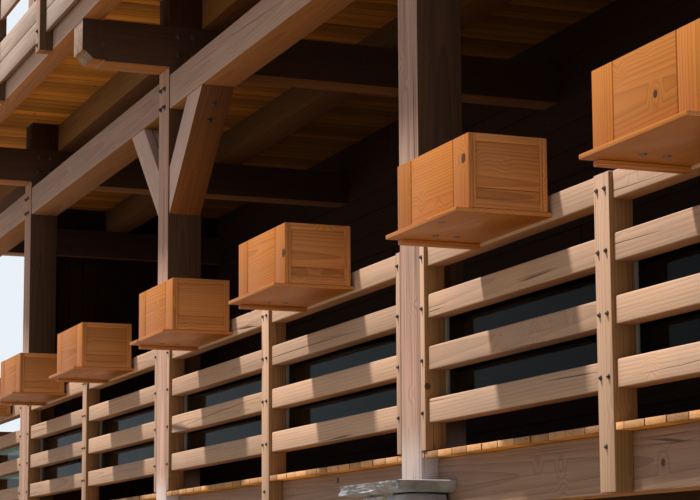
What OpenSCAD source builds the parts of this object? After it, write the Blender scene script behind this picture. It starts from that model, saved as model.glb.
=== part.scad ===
// Covered two-tier timber gallery of an alpine chalet, with the slice of house wall that it stands against.
// X runs along the gallery, Y into the house and Z up. The origin lies on the ground under the middle of
// the central post's front face.

/* [Setting out] */
// Spacing of the main posts in the two middle bays
middle_bay = 4250; // [3600:50:4600]
// Spacing of the main posts in the two end bays
end_bay = 3850; // [3200:50:4400]
// Depth of the gallery, from the front of its posts to the house wall
gallery_depth = 3000; // [2800:50:3600]
// Height of the lower deck above the ground
deck_level = 2250; // [2000:10:2600]
// Clear height from a deck to the underside of the main beam
head_height = 2620; // [2300:10:2900]

/* [Stonework] */
// Width of a square stone pier
pier_width = 560; // [480:10:640]
// Length of a pier's capstone along the gallery
cap_length = 820; // [700:10:900]
// Depth of a pier's capstone
cap_depth = 720; // [660:10:800]
// Thickness of a capstone
cap_thickness = 55; // [40:1:90]
// Height from a capstone up to the deck
cap_drop = 140; // [100:5:180]
// Thickness of the stone wall under the house wall
base_wall_thickness = 400; // [300:10:600]

/* [Main frame] */
// Side of a square main post
post_width = 240; // [200:5:280]
// Height of a main beam
main_beam_height = 240; // [200:5:280]
// Set-back of a main beam from the front of the posts
main_beam_set_back = 6; // [2:1:12]
// Height of a post above its main beam, up to the cross-beam
post_tongue = 55; // [30:1:90]
// Height of a cross-beam
cross_beam_height = 290; // [250:5:330]
// Width of a cross-beam
cross_beam_width = 240; // [200:5:280]
// Overhang of a cross-beam in front of the posts
cross_beam_overhang = 610; // [520:5:700]
// Distance along the post and along the beam that a knee brace takes up
brace_reach = 735; // [600:5:850]
// Depth of a knee brace, square to its length
brace_depth = 230; // [180:5:260]
// Set-back of a knee brace from the front of the posts
brace_set_back = 8; // [4:1:16]

/* [Carved beam heads] */
// Height of the carved curve under a beam head
head_rise = 66; // [50:1:90]
// Length of the carved curve
head_curve = 95; // [80:1:130]
// Length of the flat behind the curve
head_flat = 61; // [40:1:90]
// Height of the small step behind the flat
head_step = 8; // [4:1:14]

/* [Floor beams] */
// Height of the beams under the lower deck
deck_beam_height = 240; // [200:5:280]
// Set-back of the edge beam of the lower deck from the front of the posts
edge_beam_set_back = 85; // [60:5:85]
// Set-back of the edge beam from the back of the posts
edge_beam_back_gap = 10; // [5:1:20]
// Thickness of the rim beam of the upper deck
rim_beam_thickness = 145; // [120:5:180]
// Depth that the rim beam is let into the beam heads
rim_beam_lap = 5; // [2:1:10]
// Height of the beams under the upper deck
floor_beam_height = 240; // [200:5:260]
// Width of the floor beam behind the upper posts
front_floor_beam_width = 160; // [140:5:200]
// Width of the floor beam in the middle of the gallery
middle_floor_beam_width = 240; // [200:5:260]
// Distance from the front of the posts to the middle floor beam
middle_floor_beam_at = 1710; // [1500:10:1900]
// Thickness of the deck boards
deck_board = 30; // [22:1:40]
// Overhang of the lower deck boards in front of the edge beam
deck_nosing = 80; // [70:1:82]

/* [Lower railing] */
// Height of the railing above the deck
rail_top = 1000; // [950:5:1100]
// Height of one rail
rail_height = 115; // [90:1:130]
// Thickness of a rail
rail_thickness = 85; // [70:1:90]
// Spacing of the rails
rail_pitch = 250; // [220:1:260]
// Set-back of the rails from the front of the posts
rail_set_back = 19; // [10:1:20]
// Width of a rail post
rail_post_width = 125; // [100:1:150]
// Depth of a rail post
rail_post_depth = 110; // [110:1:130]
// Width of the strips beside a main post
strip_width = 53; // [40:1:70]
// Gap between a strip and the deck
strip_foot_gap = 5; // [2:1:10]

/* [Glass screens] */
// Thickness of a glass pane
glass_thickness = 8; // [6:1:12]
// Height of a pane's lower edge above the deck
glass_low = 160; // [140:5:200]
// Height of a pane's upper edge above the deck
glass_high = 720; // [680:5:735]
// Gap between a pane's edge and the post beside it
glass_edge_gap = 6; // [3:1:10]
// Width of the battens that hold a pane
batten_width = 60; // [50:1:80]
// Thickness of the battens
batten_thickness = 20; // [15:1:30]

/* [Planter boxes] */
// Length of a planter box
box_length = 750; // [600:10:850]
// Depth of a planter box
box_depth = 365; // [330:5:420]
// Height of a planter box
box_height = 315; // [260:5:350]
// Thickness of a box board
box_board = 22; // [18:1:30]
// Distance from the rail's end to a box
box_start = 550; // [400:10:600]
// Gap between a box and the front of the posts
box_back_gap = 2; // [1:1:12]
// Width of the frame around the panel in a box's end
box_stile = 34; // [28:1:42]
// Height of the frame's lower member
box_bottom_rail = 40; // [30:1:50]
// Depth of the panels behind the frame
panel_recess = 8; // [5:1:12]
// Length of the corner boards on a box's front
corner_board = 150; // [110:5:180]
// Width of the groove beside a corner board
groove_width = 8; // [6:1:12]
// Thickness of the shelf under a box
shelf_thickness = 20; // [15:1:30]
// Overhang of the shelf in front of the box
shelf_overhang = 60; // [40:1:80]
// Height of the shelf's underside above the lower edge of the top rail
shelf_rise = 15; // [5:1:30]
// Width of the bearer under a shelf's left end
bearer_width = 40; // [30:1:60]
// Height of the bearer
bearer_height = 22; // [15:1:35]

/* [Upper railing] */
// Width of an upper rail post
upper_rail_post_width = 120; // [100:1:140]
// Depth of an upper rail post
upper_rail_post_depth = 100; // [80:1:120]
// Spacing of the upper rail posts
upper_rail_post_pitch = 1620; // [1560:10:1700]
// Depth of an upper rail post's foot below the rim beam
upper_rail_post_drop = 10; // [0:1:20]
// Height of an upper board
upper_board_height = 163; // [150:1:180]
// Thickness of an upper board
upper_board_thickness = 55; // [40:1:60]
// Joint between two boards that lie edge to edge
upper_board_joint = 4; // [2:1:8]
// Open gap between the groups of boards
upper_board_gap = 185; // [120:5:200]
// Depth of the lowest board below the upper deck's surface
upper_board_drop = 151; // [130:1:170]
// Number of posts in the railing at each end of the upper deck
end_post_count = 4; // [3:1:5]
// Lap of an end post on the side of the cross-beam
end_post_lap = 255; // [200:5:280]

/* [House wall and end walls] */
// Thickness of the timber house wall
house_wall_thickness = 180; // [140:5:240]
// Distance from the front of the posts to an end wall
end_wall_start = 1000; // [800:10:1300]
// Side of the square post that starts an end wall
end_wall_post = 160; // [120:5:200]
// Thickness of an end wall
end_wall_thickness = 60; // [40:1:100]

/* [Hidden] */

// Steps along the carved curve of a beam head
curve_steps = 12;
// A length past a face, so that a cut runs clean through it
past = 10;

post_lines = [-middle_bay - end_bay, -middle_bay, 0, middle_bay, middle_bay + end_bay];
bays = [for (i = [0 : len(post_lines) - 2]) [post_lines[i], post_lines[i + 1]]];
last_line = post_lines[len(post_lines) - 1];
gallery_end = last_line + cross_beam_width / 2;
wall_back = gallery_depth + house_wall_thickness;

cap_top = deck_level - cap_drop;
pier_height = cap_top - cap_thickness;
deck_beam_top = deck_level - deck_board;
deck_beam_bottom = deck_beam_top - deck_beam_height;
edge_beam_back = post_width - edge_beam_back_gap;

main_beam_bottom = deck_level + head_height;
main_beam_top = main_beam_bottom + main_beam_height;
cross_beam_bottom = main_beam_top + post_tongue;
cross_beam_top = cross_beam_bottom + cross_beam_height;
rim_beam_bottom = cross_beam_top - rim_beam_lap;
floor_beam_top = cross_beam_top + floor_beam_height;
upper_level = floor_beam_top + deck_board;
upper_beam_bottom = upper_level + head_height;
tie_beam_bottom = upper_beam_bottom + main_beam_height + post_tongue;
tie_beam_top = tie_beam_bottom + cross_beam_height;

// Half the width of what carries the rails at a main post and at a rail post
main_half = post_width / 2 + strip_width;
rail_half = rail_post_width / 2;
panels = [for (bay = bays) each [
    [bay[0] + main_half, middle(bay) - rail_half],
    [middle(bay) + rail_half, bay[1] - main_half]]];
glass_panels = [for (bay = bays) each [
    [bay[0] + post_width / 2, middle(bay)],
    [middle(bay), bay[1] - post_width / 2]]];
rail_post_lines = [for (bay = bays) middle(bay)];
shelf_bottom = deck_level + rail_top - rail_height + shelf_rise;
box_bottom = shelf_bottom + shelf_thickness;

rail_line_front = -cross_beam_overhang - upper_rail_post_depth;
corner_line = gallery_end - upper_rail_post_width / 2;
// The inner posts stand symmetrically about the middle, clear of the corner posts
inner_post_count = 2 * floor((corner_line - 2 * upper_rail_post_width) / upper_rail_post_pitch + 0.5);
inner_post_lines = [for (i = [0 : inner_post_count - 1])
    (i - (inner_post_count - 1) / 2) * upper_rail_post_pitch];
front_post_lines = concat([-corner_line], inner_post_lines, [corner_line]);
end_post_first = -cross_beam_overhang + upper_rail_post_width / 2;
end_post_last = gallery_depth - upper_rail_post_width / 2;
end_post_lines = [for (i = [0 : end_post_count - 1])
    end_post_first + i * (end_post_last - end_post_first) / (end_post_count - 1)];
board_step = upper_board_height + upper_board_joint;
fascia_bottom = upper_level - upper_board_drop;
middle_boards_bottom = fascia_bottom + board_step + upper_board_height + upper_board_gap;
top_board_bottom = middle_boards_bottom + board_step + upper_board_height + upper_board_gap;
upper_rail_top = top_board_bottom + upper_board_height;

timber = "#8a6a50";
shaded_timber = "#7a5a42";
varnished_pine = "#b8742f";
rubble = "#8f8a80";

function middle(pair) = (pair[0] + pair[1]) / 2;

// A box between two corners
module block(low, high) {
    translate(low) cube(high - low);
}

// A copy at each place along X
module along(places) {
    for (x = places) translate([x, 0, 0]) children();
}

// An outline of Y and Z points, as wide as given and centred on X = 0
module side_profile(width, points) {
    translate([-width / 2, 0, 0]) rotate([90, 0, 90]) linear_extrude(width) polygon(points);
}

// The three pockets in a pier's top for the beams that bear on it, between two levels
module beam_pockets(low, high) {
    block([post_width / 2, edge_beam_set_back, low],
        [cap_length, edge_beam_back, high]);
    block([-cap_length, edge_beam_set_back, low],
        [-post_width / 2, edge_beam_back, high]);
    block([-cross_beam_width / 2, post_width, low], [cross_beam_width / 2, cap_depth, high]);
}

module stone_piers() {
    color(rubble) along(post_lines) difference() {
        translate([-pier_width / 2, (post_width - pier_width) / 2, 0])
            cube([pier_width, pier_width, pier_height]);
        beam_pockets(deck_beam_bottom, cap_top);
    }
}

module pier_caps() {
    color(rubble) along(post_lines) difference() {
        translate([-cap_length / 2, (post_width - cap_depth) / 2, pier_height])
            cube([cap_length, cap_depth, cap_thickness]);
        beam_pockets(deck_beam_bottom, cap_top + past);
    }
}

module base_wall() {
    color(rubble) block([-gallery_end, gallery_depth, 0],
        [gallery_end, gallery_depth + base_wall_thickness, deck_beam_bottom]);
}

module deck_cross_beams() {
    color(shaded_timber) along(post_lines) block([-cross_beam_width / 2, post_width, deck_beam_bottom],
        [cross_beam_width / 2, wall_back, deck_beam_top]);
}

module edge_beams() {
    color(timber) for (bay = bays) block(
        [bay[0] + post_width / 2, edge_beam_set_back, deck_beam_bottom],
        [bay[1] - post_width / 2, edge_beam_back, deck_beam_top]);
}

module deck_middle_beams() {
    color(shaded_timber) for (bay = bays) block(
        [bay[0] + cross_beam_width / 2, middle_floor_beam_at, deck_beam_bottom],
        [bay[1] - cross_beam_width / 2, middle_floor_beam_at + middle_floor_beam_width, deck_beam_top]);
}

module lower_deck() {
    color(varnished_pine) difference() {
        block([-gallery_end, edge_beam_set_back - deck_nosing, deck_beam_top],
            [gallery_end, gallery_depth, deck_level]);
        along(post_lines) block([-post_width / 2, 0, deck_beam_top - past],
            [post_width / 2, post_width, deck_level + past]);
        along(rail_post_lines) block([-rail_half, 0, deck_beam_top - past],
            [rail_half, edge_beam_set_back, deck_level + past]);
    }
}

module main_posts() {
    color(timber) along(post_lines)
        block([-post_width / 2, 0, cap_top], [post_width / 2, post_width, cross_beam_bottom]);
}

module post_strips() {
    inner = [for (i = [0 : len(post_lines) - 1]) each [
        if (i > 0) post_lines[i] - main_half,
        if (i < len(post_lines) - 1) post_lines[i] + post_width / 2]];
    color(timber) along(inner) block([0, 0, deck_level + strip_foot_gap],
        [strip_width, rail_post_depth, deck_level + rail_top]);
}

module rail_posts() {
    color(timber) along(rail_post_lines) union() {
        block([-rail_half, 0, deck_beam_bottom], [rail_half, edge_beam_set_back, deck_level]);
        block([-rail_half, 0, deck_level], [rail_half, rail_post_depth, deck_level + rail_top]);
    }
}

// One row of rails, counted down from the top, with a short rail at each end of the gallery
module rail_row(number) {
    high = deck_level + rail_top - number * rail_pitch;
    color(timber) {
        for (panel = panels) block([panel[0], rail_set_back, high - rail_height],
            [panel[1], rail_set_back + rail_thickness, high]);
        for (line = [-last_line, last_line]) block(
            [line - rail_thickness / 2, post_width, high - rail_height],
            [line + rail_thickness / 2, end_wall_start, high]);
    }
}

module top_rails() { rail_row(0); }

module second_rails() { rail_row(1); }

module third_rails() { rail_row(2); }

module bottom_rails() { rail_row(3); }

// Panes behind their battens
module glass_screens() {
    front = rail_post_depth + batten_thickness;
    color("#9fb4b0", 0.4) for (panel = glass_panels) block(
        [panel[0] + glass_edge_gap, front, deck_level + glass_low],
        [panel[1] - glass_edge_gap, front + glass_thickness, deck_level + glass_high]);
}

// A batten in front of each pane's edge at the main posts, and one in front of both edges at the rail posts
module screen_battens() {
    front = rail_post_depth;
    color("#8d8f8e") {
        for (bay = bays) for (x = [bay[0] + post_width / 2, bay[1] - post_width / 2 - batten_width])
            block([x, front, deck_level + glass_low],
                [x + batten_width, front + batten_thickness, deck_level + glass_high]);
        along(rail_post_lines) block([-batten_width, front, deck_level + glass_low],
            [batten_width, front + batten_thickness, deck_level + glass_high]);
    }
}

module box_bearers() {
    color(varnished_pine) for (panel = panels) translate([panel[0] + box_start, 0, 0]) block(
        [0, -box_back_gap - box_depth, shelf_bottom - bearer_height],
        [bearer_width, rail_set_back, shelf_bottom]);
}

module box_shelves() {
    color(varnished_pine) for (panel = panels) translate([panel[0] + box_start, 0, 0]) block(
        [0, -box_back_gap - box_depth - shelf_overhang, shelf_bottom],
        [box_length, rail_set_back, box_bottom]);
}

// One open box, with framed ends and a front of corner boards and a long board
module planter_box() {
    frame = [box_length, box_depth, box_height];
    difference() {
        cube(frame);
        translate([box_board, box_board, box_board])
            cube(frame - [2 * box_board, 2 * box_board, 0]);
        for (x = [-past, box_length - panel_recess]) translate([x, box_stile, box_bottom_rail])
            cube([panel_recess + past, box_depth - 2 * box_stile, box_height - box_bottom_rail - box_stile]);
        for (x = [corner_board, box_length - corner_board - groove_width])
            translate([x, -past, -past]) cube([groove_width, past + panel_recess, box_height + 2 * past]);
    }
}

module planter_boxes() {
    color(varnished_pine) for (panel = panels)
        translate([panel[0] + box_start, -box_back_gap - box_depth, box_bottom]) planter_box();
}

// The beams between the posts, with their undersides at the given height
module beam_row(bottom) {
    color(timber) for (bay = bays) block([bay[0] + post_width / 2, main_beam_set_back, bottom],
        [bay[1] - post_width / 2, post_width, bottom + main_beam_height]);
}

// The pair of knee braces at the central post, under a beam at the given height
module brace_pair(bottom) {
    flat = brace_depth * sqrt(2);
    color(timber) for (side = [0, 1]) mirror([side, 0, 0])
        translate([post_width / 2, post_width - brace_set_back, bottom]) rotate([90, 0, 0])
            linear_extrude(post_width - 2 * brace_set_back) polygon([[brace_reach, 0],
                [brace_reach - flat, 0], [0, flat - brace_reach], [0, -brace_reach]]);
}

module main_beams() { beam_row(main_beam_bottom); }

module knee_braces() { brace_pair(main_beam_bottom); }

// The underside of a carved head, from the step out to the end face
function head_points(bottom) = [
    [-cross_beam_overhang + head_curve + head_flat, bottom],
    [-cross_beam_overhang + head_curve + head_flat, bottom + head_step],
    for (i = [0 : curve_steps])
        [-cross_beam_overhang + head_curve * (1 - i / curve_steps),
            bottom + head_step + (head_rise - head_step) * (1 - cos(180 * i / curve_steps)) / 2]];

// A beam in Y on each post line with a carved head, cut down over the given lap for the rim beam
module head_beams(bottom, lap) {
    top = bottom + cross_beam_height;
    notch = -cross_beam_overhang + rim_beam_thickness;
    upper = lap > 0 ? [[-cross_beam_overhang, top - lap], [notch, top - lap], [notch, top]]
        : [[-cross_beam_overhang, top]];
    color(shaded_timber) along(post_lines)
        side_profile(cross_beam_width, concat([[wall_back, bottom]], head_points(bottom), upper,
            [[wall_back, top]]));
}

module cross_beams() { head_beams(cross_beam_bottom, rim_beam_lap); }

module tie_beams() { head_beams(tie_beam_bottom, 0); }

module rim_beam() {
    color(timber) block([-gallery_end, -cross_beam_overhang, rim_beam_bottom],
        [gallery_end, -cross_beam_overhang + rim_beam_thickness, floor_beam_top]);
}

// A beam along the gallery on top of the cross-beams
module floor_beam(at, width) {
    color(shaded_timber) block([-gallery_end, at, cross_beam_top], [gallery_end, at + width, floor_beam_top]);
}

module front_floor_beam() { floor_beam(post_width, front_floor_beam_width); }

module middle_floor_beam() { floor_beam(middle_floor_beam_at, middle_floor_beam_width); }

module upper_deck() {
    color(varnished_pine) difference() {
        block([-gallery_end, -cross_beam_overhang, floor_beam_top], [gallery_end, gallery_depth, upper_level]);
        along(post_lines) block([-post_width / 2, 0, floor_beam_top - past],
            [post_width / 2, post_width, upper_level + past]);
    }
}

// A timber wall between two heights, notched for the beams that pass through it at the given heights
module timber_wall(low, high, notches) {
    color(shaded_timber) difference() {
        block([-gallery_end, gallery_depth, low], [gallery_end, wall_back, high]);
        for (notch = notches) along(post_lines) block(
            [-cross_beam_width / 2, gallery_depth - past, notch[0]],
            [cross_beam_width / 2, wall_back + past, notch[1]]);
    }
}

module lower_house_wall() {
    timber_wall(deck_beam_bottom, floor_beam_top,
        [[deck_beam_bottom - past, deck_beam_top], [cross_beam_bottom, cross_beam_top]]);
}

module upper_house_wall() {
    timber_wall(floor_beam_top, tie_beam_top, [[tie_beam_bottom, tie_beam_top + past]]);
}

module end_wall_posts() {
    color(timber) along([-last_line, last_line]) block([-end_wall_post / 2, end_wall_start, deck_level],
        [end_wall_post / 2, end_wall_start + end_wall_post, cross_beam_bottom]);
}

// A wall under each end cross-beam, and boards that close the gaps over it between the floor beams
module end_walls() {
    half = end_wall_thickness / 2;
    middle_beam_back = middle_floor_beam_at + middle_floor_beam_width;
    color(shaded_timber) along([-last_line, last_line]) {
        block([-half, end_wall_start + end_wall_post, deck_level], [half, gallery_depth, cross_beam_bottom]);
        block([-half, post_width + front_floor_beam_width, cross_beam_top],
            [half, middle_floor_beam_at, floor_beam_top]);
        block([-half, middle_beam_back, cross_beam_top], [half, gallery_depth, floor_beam_top]);
    }
}

module upper_posts() {
    color(timber) along(post_lines)
        block([-post_width / 2, 0, cross_beam_top], [post_width / 2, post_width, tie_beam_bottom]);
}

module upper_rail_posts() {
    color(timber) {
        along(front_post_lines) block(
            [-upper_rail_post_width / 2, rail_line_front, rim_beam_bottom - upper_rail_post_drop],
            [upper_rail_post_width / 2, -cross_beam_overhang, upper_rail_top]);
        for (side = [0, 1]) mirror([side, 0, 0]) for (y = end_post_lines)
            translate([gallery_end, y, 0]) block(
                [0, -upper_rail_post_width / 2, cross_beam_top - end_post_lap],
                [upper_rail_post_depth, upper_rail_post_width / 2, upper_rail_top]);
    }
}

// One row of boards around the upper deck, between the rail posts
module board_row(bottom) {
    half = upper_rail_post_width / 2;
    color(timber) {
        for (i = [0 : len(front_post_lines) - 2]) block(
            [front_post_lines[i] + half, -cross_beam_overhang - upper_board_thickness, bottom],
            [front_post_lines[i + 1] - half, -cross_beam_overhang, bottom + upper_board_height]);
        for (side = [0, 1]) mirror([side, 0, 0]) for (i = [0 : end_post_count - 2]) block(
            [gallery_end, end_post_lines[i] + half, bottom],
            [gallery_end + upper_board_thickness, end_post_lines[i + 1] - half, bottom + upper_board_height]);
    }
}

module fascia_boards() {
    board_row(fascia_bottom);
    board_row(fascia_bottom + board_step);
}

module upper_middle_boards() {
    board_row(middle_boards_bottom);
    board_row(middle_boards_bottom + board_step);
}

module upper_top_boards() { board_row(top_board_bottom); }

module upper_beams() { beam_row(upper_beam_bottom); }

module upper_braces() { brace_pair(upper_beam_bottom); }

stone_piers();
pier_caps();
base_wall();
deck_cross_beams();
edge_beams();
deck_middle_beams();
lower_deck();
main_posts();
post_strips();
rail_posts();
top_rails();
second_rails();
third_rails();
bottom_rails();
glass_screens();
screen_battens();
box_bearers();
box_shelves();
planter_boxes();
main_beams();
knee_braces();
cross_beams();
rim_beam();
front_floor_beam();
middle_floor_beam();
upper_deck();
lower_house_wall();
end_wall_posts();
end_walls();
upper_posts();
upper_rail_posts();
fascia_boards();
upper_middle_boards();
upper_top_boards();
upper_beams();
upper_braces();
tie_beams();
upper_house_wall();
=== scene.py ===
# %% [markdown]
# # A timber gallery of an alpine chalet
# The real gallery is plain carpentry: square spruce posts on stone piers, beams from post to post, carved beam
# heads that carry an upper balcony, and a railing of four heavy rails with planter boxes hung outside it.
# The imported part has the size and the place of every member. This lesson dresses it: each node is made again
# timber by timber or stone by stone, at the same place, and gets a finish that is worked out from the real one.

import math
import random

import bpy
import numpy as np
from mathutils import Matrix, Vector, noise


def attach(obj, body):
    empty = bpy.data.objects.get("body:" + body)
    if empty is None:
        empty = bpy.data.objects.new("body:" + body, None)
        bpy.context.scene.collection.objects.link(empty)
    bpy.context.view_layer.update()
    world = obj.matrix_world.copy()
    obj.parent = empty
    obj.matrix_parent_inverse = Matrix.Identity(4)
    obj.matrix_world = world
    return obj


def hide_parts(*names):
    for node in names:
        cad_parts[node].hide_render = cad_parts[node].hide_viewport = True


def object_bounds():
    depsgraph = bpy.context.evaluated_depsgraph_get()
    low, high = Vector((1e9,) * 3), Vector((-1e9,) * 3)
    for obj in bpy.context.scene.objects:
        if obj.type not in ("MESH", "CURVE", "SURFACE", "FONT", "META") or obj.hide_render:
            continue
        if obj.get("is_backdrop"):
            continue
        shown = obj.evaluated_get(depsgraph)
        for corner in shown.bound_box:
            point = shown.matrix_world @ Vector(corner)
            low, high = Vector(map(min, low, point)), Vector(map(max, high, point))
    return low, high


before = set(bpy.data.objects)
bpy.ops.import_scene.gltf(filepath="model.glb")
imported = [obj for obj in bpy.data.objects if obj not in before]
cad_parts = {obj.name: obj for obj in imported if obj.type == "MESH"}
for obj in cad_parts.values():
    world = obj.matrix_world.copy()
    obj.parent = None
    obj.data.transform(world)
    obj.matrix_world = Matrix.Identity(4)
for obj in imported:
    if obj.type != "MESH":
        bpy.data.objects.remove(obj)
bpy.ops.object.select_all(action="DESELECT")
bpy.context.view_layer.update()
chance = random.Random(1880)
MM = 0.001

# %% [markdown]
# ## The camera
# The gallery is seen from outside, low down and from the right, through a long lens. The camera stands 1.6 m
# above the ground, looks up by 8 degrees and has a small upward shift, which keeps the posts nearly upright.

# %% Camera
bpy.ops.object.camera_add(location=(13.119, -3.839, 1.637),
                          rotation=(math.radians(97.841), math.radians(0.314), math.radians(68.351)))
camera = bpy.context.object
camera.data.sensor_width = 36
camera.data.lens = 103.46
camera.data.shift_y = 0.08
camera.data.clip_end = 500
bpy.context.scene.camera = camera
print("camera at", tuple(camera.location), "with a lens of", camera.data.lens, "mm")

# %% [markdown]
# ## Light and floor
# A wide lamp stands for a soft sun, high on the left in front, and a plain pale sky fills the shade. The floor
# is pale where the camera, a mirror or glass sees it, and a mid grey where its light falls back on the timber,
# as a yard of gravel and grass would be, so that the undersides of the beams don't glow.

# %% Lamps, world and floor
def hex_rgb(value):
    """An sRGB hex colour as linear RGBA."""
    parts = [int(value[i:i + 2], 16) / 255 for i in (1, 3, 5)]
    return tuple(c / 12.92 if c <= 0.04045 else ((c + 0.055) / 1.055) ** 2.4 for c in parts) + (1.0,)


def add(tree, kind, inputs=None, operation=None, **settings):
    """Adds one node with its settings. An input is set to a number or a hex colour, or linked to a socket or to
    a node, which then gives its first output in use."""
    node = tree.nodes.new("ShaderNode" + kind)
    if operation:
        node.operation = operation
    for name, value in settings.items():
        setattr(node, name, value)
    for socket, value in (inputs or {}).items():
        if isinstance(value, str):
            value = hex_rgb(value)
        elif isinstance(value, bpy.types.Node):
            value = next(output for output in value.outputs if output.enabled)
        if isinstance(value, bpy.types.NodeSocket):
            tree.links.new(value, node.inputs[socket])
        else:
            node.inputs[socket].default_value = value
    return node


def new_material(name):
    """An empty node material and its tree."""
    material = bpy.data.materials.new(name)
    material.use_nodes = True
    material.node_tree.nodes.clear()
    return material, material.node_tree


def two_faced(tree, rays, for_others, for_these):
    """One colour for some kinds of rays and another for all others."""
    path, found = add(tree, "LightPath"), 0.0
    for ray in rays:
        found = add(tree, "Math", {0: path.outputs[ray], 1: found}, "MAXIMUM")
    return add(tree, "Mix", {"Factor": found, "A": for_others, "B": for_these}, data_type="RGBA")


scene = bpy.context.scene
scene.view_settings.view_transform = "Standard"
world = bpy.data.worlds.new("pale sky")
world.use_nodes = True
scene.world = world
tree = world.node_tree
tree.nodes.clear()
sky = two_faced(tree, ["Is Camera Ray", "Is Transmission Ray"], "#949aa6", "#eaf1f8")
add(tree, "OutputWorld", {"Surface": add(tree, "Background", {"Color": sky})})

bpy.ops.object.light_add(type="SUN", location=(-6, -9, 15))
sun = bpy.context.object
sun.rotation_euler = Vector((0.28, 0.37, -1.0)).to_track_quat("-Z", "Y").to_euler()
sun.data.energy = 6.0
sun.data.angle = math.radians(4)
sun.data.color = hex_rgb("#fff2e2")[:3]

bpy.ops.mesh.primitive_plane_add(size=400)
floor = bpy.context.object
floor.name = "pale_floor"
material, tree = new_material("pale studio floor")
pale = two_faced(tree, ["Is Camera Ray", "Is Glossy Ray", "Is Transmission Ray"], "#857b63", "#dcdad6")
add(tree, "OutputMaterial", {"Surface": add(tree, "BsdfDiffuse", {"Color": pale})})
floor.data.materials.append(material)
floor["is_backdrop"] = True
print("one lamp, a pale sky and a floor of", floor.dimensions.x, "m")

# %% [markdown]
# ## Setting out
# The sizes are the part's own named sizes, here in metres. Every piece below takes its place from them.

# %% Sizes
post_lines = [-8.1, -4.25, 0.0, 4.25, 8.1]
end_lines = (post_lines[0], post_lines[-1])
bays = list(zip(post_lines[:-1], post_lines[1:]))
rail_post_lines = [(a + b) / 2 for a, b in bays]
end_x, depth, wall_back = 8.22, 3.0, 3.18
end_post_front, end_post_back = 1.0, 1.16
post, half_post = 0.240, 0.120
deck, deck_beam_high, deck_beam_low = 2.250, 2.220, 1.980
cap_top, pier_top = 2.110, 2.055
beam_low, beam_high = 4.870, 5.110
cross_low, cross_high, cross_half = 5.165, 5.455, 0.120
rim_low, floor_top, upper = 5.450, 5.695, 5.725
upper_beam_low, upper_beam_high = 8.345, 8.585
tie_low, tie_high = 8.640, 8.930
front, rim_back = -0.610, -0.465
beam_face, edge_face, floor_back, middle_face, middle_back = 0.006, 0.085, 0.400, 1.710, 1.950
brace_reach, brace_width = 0.735, 0.230
strip, rail_half, rail_post = 0.053, 0.0625, 0.110
rail_front, rail_back, half_rail, rail_height = 0.019, 0.104, 0.0425, 0.115
main_half = half_post + strip
panels = [p for a, b in bays for p in
          ((a + main_half, (a + b) / 2 - rail_half), ((a + b) / 2 + rail_half, b - main_half))]
rail_tops = [deck + 1.0 - 0.25 * n for n in range(4)]
print(len(bays), "bays,", len(panels), "railing panels")

# %% [markdown]
# ## Sawn softwood
# Every timber is a stick cut from a tree, so its figure is solid: growth rings round a pith that lies in or
# beside the stick, fibres along it, knots where branches left the stem, and drying cracks along the fibres.
# Each timber therefore carries an attribute called grain, with its own coordinates in metres, the first one
# along the stick, and another called tone, because no two sticks are equally dark. A picture laid on the faces
# could not run on over an edge or show rings on a sawn end, and this does both.

# %% A softwood finish
def mottle(tree, place, stretch, low, high, most=1.0, **noise_inputs):
    """Noise in stretched coordinates, from 0 where it is under low to most where it is over high."""
    place = add(tree, "VectorMath", {0: place, 1: stretch}, "MULTIPLY")
    pattern = add(tree, "TexNoise", {"Vector": place, "Scale": 1.0, **noise_inputs})
    return add(tree, "MapRange", {"Value": pattern, "From Min": low, "From Max": high, "To Max": most})


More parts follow.
